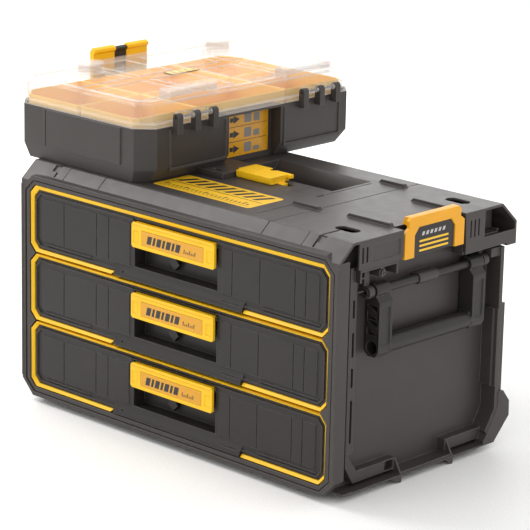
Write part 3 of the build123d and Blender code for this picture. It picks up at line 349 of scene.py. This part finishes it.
def slab(name, outlines, normal, low, high, material, body):
    """One piece of one or more flat plates: outlines in the plane across normal, from low to high."""
    a, b, c = AXES[normal]
    mesh = bmesh.new()
    for outline in outlines:
        rings = []
        for level in (low, high):
            ring = []
            for u, v in outline:
                co = [0.0, 0.0, 0.0]
                co[a], co[b], co[c] = u, v, level
                ring.append(mesh.verts.new(co))
            rings.append(ring)
            mesh.faces.new(ring)
        n = len(outline)
        for i in range(n):
            j = (i + 1) % n
            mesh.faces.new((rings[0][i], rings[0][j], rings[1][j], rings[1][i]))
    bmesh.ops.recalc_face_normals(mesh, faces=mesh.faces)
    data = bpy.data.meshes.new(name)
    mesh.to_mesh(data)
    mesh.free()
    obj = bpy.data.objects.new(name, data)
    bpy.context.scene.collection.objects.link(obj)
    data.materials.append(material)
    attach(obj, body)


# ---- prints and badges, in millimetres ----------------------------------------------------
PRINT_GAP = 0.015     # between a face and the print on it
PRINT_THICK = 0.12
LID_CHANNEL = 422.0   # height of the floor of the lid's cross channel


def mm(node):
    """Lowest and highest corner of a CAD node, in millimetres."""
    low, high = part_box(node)
    return [c * 1000 for c in low], [c * 1000 for c in high]


def decal(name, outlines, normal, face, material, body, out=1, thick=PRINT_THICK):
    """Thin print on a flat face; out is the side that the face looks to."""
    low, high = sorted((face + out * PRINT_GAP, face + out * (PRINT_GAP + thick)))
    metres = [[(u * MM, v * MM) for u, v in outline] for outline in outlines]
    slab(name, metres, normal, low * MM, high * MM, material, body)


def drawer_marks(n):
    """Slanted bars, a short scale and two border lines on the window of the pull."""
    low, high = mm("drawer_%d_label" % n)
    face = low[1]
    body = "flap_%d" % n
    wide, narrow, gap = 7.5, 4.0, 2.6
    tick, tick_pitch, tick_lean = 1.3, 3.1, 0.8
    tall_tick, short_tick = 5.4, 3.0
    z0 = low[2] + 3.6
    z1 = high[2] - 4.6
    u = low[0] + 9.0
    bars = []
    for width in (wide, narrow, wide, narrow, wide, narrow, wide):
        bars.append(slant(u, z0, z1, width, gap))
        u += width + gap
    u += 5.0
    foot = z0 + 1.0
    ticks = []
    for k in range(7):
        tall = tall_tick if k % 3 == 0 else short_tick
        ticks.append(slant(u + tick_pitch * k, foot, foot + tall, tick, tick_lean))
    decal("pull_bars_%d" % n, bars, "y", face, INK, body, -1)
    decal("pull_ticks_%d" % n, ticks, "y", face, INK, body, -1)
    border = 0.7
    lines = [rect(low[0] + 1.0, high[0] - 1.0, z, z + border) for z in (low[2] + 1.0, high[2] - 1.7)]
    decal("pull_lines_%d" % n, lines, "y", face, LABEL_OCHRE, body, -1)


def side_marks(side, sign):
    """Three stripes and a row of small slanted marks on the dark insert of the stacking latch."""
    low, high = mm("side_latch_insert_" + side)
    face = sign * max(abs(low[0]), abs(high[0]))
    body = "side_latch_" + side
    inset = 15.0
    stripe, stripe_pitch, stripe_cut = 2.6, 5.8, 0.8
    mark, mark_pitch, mark_tall, mark_lean = 4.2, 7.6, 4.6, 1.8
    y0 = low[1] + inset
    y1 = high[1] - inset
    feet = [low[2] + 3.6 + stripe_pitch * k for k in range(3)]
    stripes = [rect(y0, y1, z, z + stripe, stripe_cut) for z in feet]
    decal("latch_stripes_" + side, stripes, "x", face, INK_YELLOW, body, sign)
    z = low[2] + 23.0
    y0 += 4.0
    marks = [slant(y0 + mark_pitch * k, z, z + mark_tall, mark, mark_lean) for k in range(6)]
    decal("latch_marks_" + side, marks, "x", face, INK_PALE, body, sign)


def deck_print():
    """Warning panel on the deck: diagonal bars, and a row of small marks between two thin lines."""
    top = mm("front_frame")[1][2]
    back, front = -54.0, -119.0
    half, line_half, bars_start, marks_start = 84, 78, -76, -74
    bar, bar_lean = 8.2, 12.0
    mark, mark_pitch, tall_mark, short_mark = 2.6, 6.8, 9.0, 5.2
    panel_cut, panel_thick, ink_thick = 3.0, 0.10, 0.08
    plate = [rect(-half, half, front, back, panel_cut)]
    decal("deck_panel", plate, "z", top, INK_YELLOW, "case", 1, panel_thick)
    ink = top + 0.12
    bars = [slant(bars_start + 2 * bar * k, back - 30.0, back - 6.0, bar, bar_lean) for k in range(9)]
    decal("deck_bars", bars, "z", ink, INK, "case", 1, ink_thick)
    lines = [rect(-line_half, line_half, y, y + width)
             for y, width in ((back - 36.4, 1.4), (front + 6.0, 0.8))]
    decal("deck_lines", lines, "z", ink, INK, "case", 1, ink_thick)
    foot = front + 10.5
    marks = []
    for k in range(22):
        u = marks_start + mark_pitch * k
        tall = tall_mark if k % 5 == 0 else short_mark
        marks.append(rect(u, u + mark, foot, foot + tall))
    decal("deck_scale", marks, "z", ink, INK, "case", 1, ink_thick)


def niche_marks():
    """Three rows of plain pictograms on the plate in the organiser's niche."""
    low, high = mm("organiser_label")
    face = high[0]
    y0, y1, z0, z1 = low[1], high[1], low[2], high[2]
    middle = (y0 + y1) / 2
    row = (z1 - z0) / 3
    margin = 3.4
    tall = row - 2 * margin
    line_half = 0.35
    box = 13
    column = (middle + 17, middle + 28)
    arrow_tip, arrow_back, arrow_tail = middle - 9, middle - 20, middle - 27
    levels = [z0 + row * k for k in (1, 2)]
    lines = [rect(y0 + 3, y1 - 3, z - line_half, z + line_half) for z in levels]
    decal("niche_lines", lines, "x", face, INK, "organiser")
    fills = []
    signs = []
    for k in range(3):
        z = z0 + row * k + margin
        share = 0.45 + 0.2 * k
        fills.append(rect(middle, middle + box, z, z + tall, 1.2))
        fills.append(rect(*column, z, z + tall * share, 1.0))
        signs.append([(arrow_back, z + 1), (arrow_tip, z + tall / 2), (arrow_back, z + tall - 1)])
        signs.append(rect(arrow_tail, arrow_back - 0.5, z + margin, z + tall - margin))
    decal("niche_fills", fills, "x", face, INK_GREY, "organiser")
    decal("niche_signs", signs, "x", face, INK, "organiser")


def lid_badge():
    """Small badge in the cross channel of the lid: a dark border, a yellow field and four bars."""
    x = -202.0
    y0, y1 = 21.0, 75.0
    rim = 2.0
    border, field, bar = 9.4, 7.4, 5.0   # half widths
    bar_long, bar_pitch = 3.5, 12.0
    border_thick, field_thick, bar_thick = 0.8, 0.2, 0.06
    face = LID_CHANNEL
    decal("badge_border", [rect(x - border, x + border, y0, y1, 3.0)], "z", face, INK,
          "organiser_lid", 1, border_thick)
    face += border_thick + 2 * PRINT_GAP
    decal("badge_field", [rect(x - field, x + field, y0 + rim, y1 - rim, rim)], "z", face, INK_YELLOW,
          "organiser_lid", 1, field_thick)
    face += field_thick + 2 * PRINT_GAP
    feet = [y0 + 9.0 + bar_pitch * k for k in range(4)]
    decal("badge_bars", [rect(x - bar, x + bar, y, y + bar_long) for y in feet], "z", face, INK,
          "organiser_lid", 1, bar_thick)


# ---- camera, light and floor --------------------------------------------------------------
CAMERA_PLACE = (2.180993, -2.307722, 1.109152)
CAMERA_TURN = (43.363, 15.838, 1.243)   # azimuth, elevation and roll in degrees
CAMERA_LENS = 175.63                    # millimetres, on the sensor below
CAMERA_SENSOR = 36.0

LIGHT_TARGET = (0.0, 0.0, 0.16)
WARM = (1.0, 0.99, 0.975)
SOFT_WARM = (1.0, 0.99, 0.97)
WHITE = (1, 1, 1)
LIGHTS = (
    # name, place, size, power in watts, colour
    ("key", (-1.65, -0.43, 1.95), (1.3, 1.1), 30, WARM),
    ("front", (-0.6, -2.4, 1.3), (1.6, 1.2), 7, SOFT_WARM),
    ("rear", (-1.7, 1.9, 0.75), (1.6, 0.9), 12, WHITE),
    ("right", (2.5, -0.3, 0.7), (1.2, 1.2), 5, WHITE),
)
SKY = (1.0, 0.995, 0.99, 1.0)
SKY_STRENGTH = 1.06
FLOOR_HALF = 9


def camera():
    azimuth, elevation, roll = (math.radians(d) for d in CAMERA_TURN)
    back = Vector((math.sin(azimuth) * math.cos(elevation),
                   -math.cos(azimuth) * math.cos(elevation), math.sin(elevation)))
    right = Vector((math.cos(azimuth), math.sin(azimuth), 0.0))
    up = back.cross(right)
    x_axis = right * math.cos(roll) + up * math.sin(roll)
    y_axis = up * math.cos(roll) - right * math.sin(roll)
    data = bpy.data.cameras.new("camera")
    data.sensor_width = CAMERA_SENSOR
    data.lens = CAMERA_LENS
    data.clip_end = 50.0
    obj = bpy.data.objects.new("camera", data)
    bpy.context.scene.collection.objects.link(obj)
    turn = Matrix((x_axis, y_axis, back)).transposed().to_4x4()
    obj.matrix_world = Matrix.Translation(CAMERA_PLACE) @ turn
    bpy.context.scene.camera = obj


def softbox(name, place, size, power, colour):
    """Rectangular light that looks at the middle of the object."""
    data = bpy.data.lights.new(name, "AREA")
    data.shape = "RECTANGLE"
    data.size, data.size_y = size
    data.energy = power
    data.color = colour
    obj = bpy.data.objects.new(name, data)
    obj.location = place
    aim = Vector(LIGHT_TARGET) - Vector(place)
    obj.rotation_euler = aim.to_track_quat("-Z", "Y").to_euler()
    bpy.context.scene.collection.objects.link(obj)


def studio():
    world = bpy.data.worlds.new("studio")
    world.use_nodes = True
    background = world.node_tree.nodes["Background"]
    background.inputs["Color"].default_value = SKY
    background.inputs["Strength"].default_value = SKY_STRENGTH
    bpy.context.scene.world = world
    for light in LIGHTS:
        softbox(*light)
    data = bpy.data.meshes.new("floor")
    r = FLOOR_HALF
    data.from_pydata([(-r, -r, 0), (r, -r, 0), (r, r, 0), (-r, r, 0)], [], [(0, 1, 2, 3)])
    floor = bpy.data.objects.new("floor", data)
    bpy.context.scene.collection.objects.link(floor)
    data.materials.append(printed("floor", rgb(0.93, 0.93, 0.925), 0.6))
    bpy.context.scene.view_settings.view_transform = "Standard"


# ---- the model ----------------------------------------------------------------------------
dress()
springs()
for number in DRAWERS:
    drawer_marks(number)
for side, sign in SIDES:
    side_marks(side, sign)
deck_print()
niche_marks()
lid_badge()

camera()
studio()

for name in frame["nodes"]:
    if not any(word in name for word in SHARP):
        soften(name, EDGE_RADIUS)
